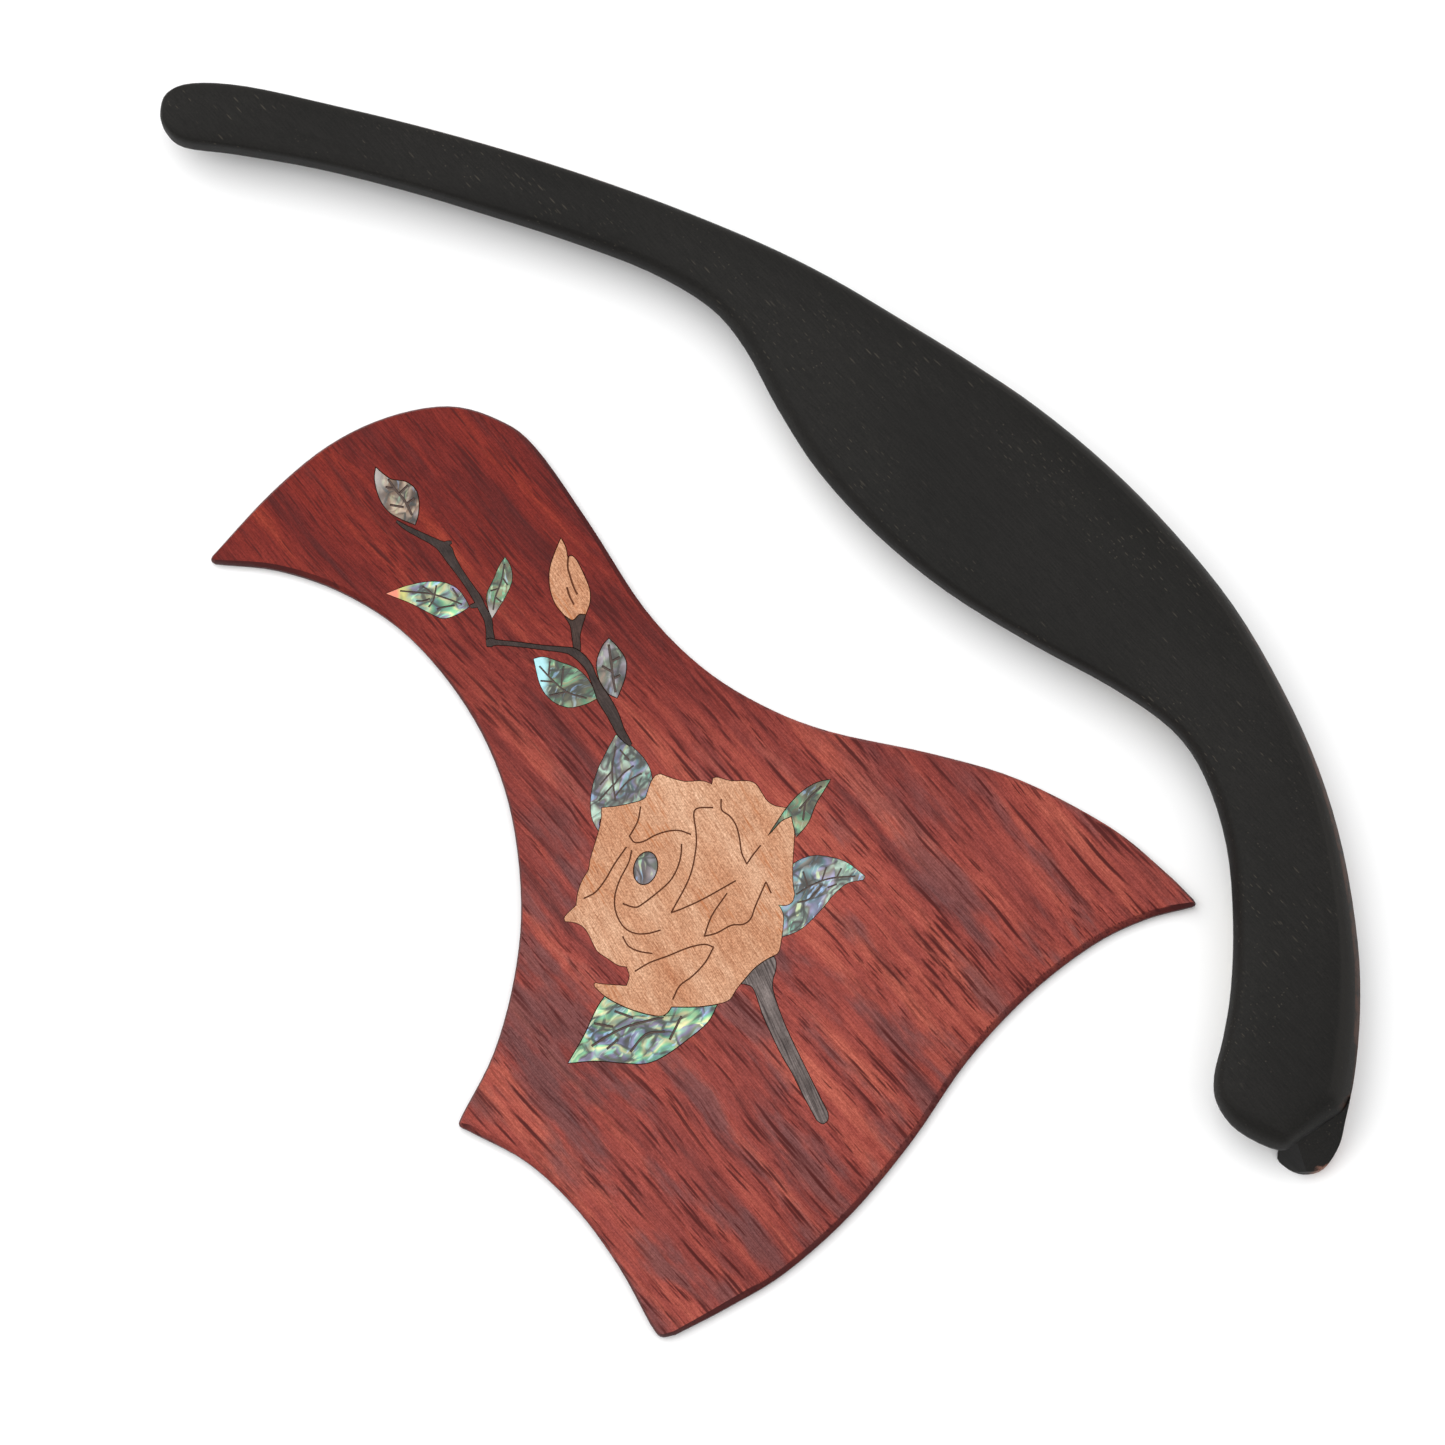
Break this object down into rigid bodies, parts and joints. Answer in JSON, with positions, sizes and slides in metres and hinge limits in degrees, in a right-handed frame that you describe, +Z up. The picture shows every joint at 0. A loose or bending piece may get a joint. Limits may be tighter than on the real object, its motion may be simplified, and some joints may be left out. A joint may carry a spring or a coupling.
{
  "type": "guitar pickguard and armrest set",
  "caption": "Stick-on acoustic guitar pickguard in red wood with an inlaid rose, and a black wooden armrest whose lip hangs over the guitar's side, laid out flat side by side.",
  "frame": {"origin": "middle of the set's bounding box, on the flat surface that both pieces lie on", "axes": "+Z up out of that surface, the side that faces the player; +Y from the pickguard's lowest tip towards the armrest's thin end; +X towards the armrest's elbow end"},
  "size_m": [0.2072, 0.2192, 0.0125],
  "materials": {
    "red_wood": "satin, oiled",
    "maple": "satin",
    "shell": "polished abalone shell",
    "dark_shell": "polished dark mother-of-pearl",
    "grey_wood": "satin",
    "brown_wood": "satin",
    "dark_wood": "satin",
    "black_wood": "satin, worn at the edges",
    "tape": "thin double-sided tape",
    "liner": "siliconed release paper"
  },
  "bodies": {
    "pickguard": {"pickguard_plate": "red_wood", "rose_bloom": "maple", "rose_heart": "dark_shell", "rose_stem": "grey_wood", "rosebud": "maple", "bud_calyx": "brown_wood", "branch_upper": "dark_wood", "branch_lower": "dark_wood", "leaf_top": "dark_shell", "leaf_left": "shell", "leaf_inner": "shell", "leaf_fork_left": "shell", "leaf_fork_right": "shell", "leaf_shoulder": "shell", "leaf_thorn": "shell", "leaf_right": "shell", "leaf_bottom": "shell", "pickguard_tape": "tape", "pickguard_liner": "liner"},
    "armrest": {"armrest_board": "black_wood", "armrest_lip": "black_wood", "armrest_tape": "tape", "armrest_liner": "liner"}
  },
  "joints": [
    {"name": "armrest_lift", "type": "slide", "parent": "pickguard", "child": "armrest", "axis": [0, 0, 1], "range_m": [0, 0.06]}
  ]
}
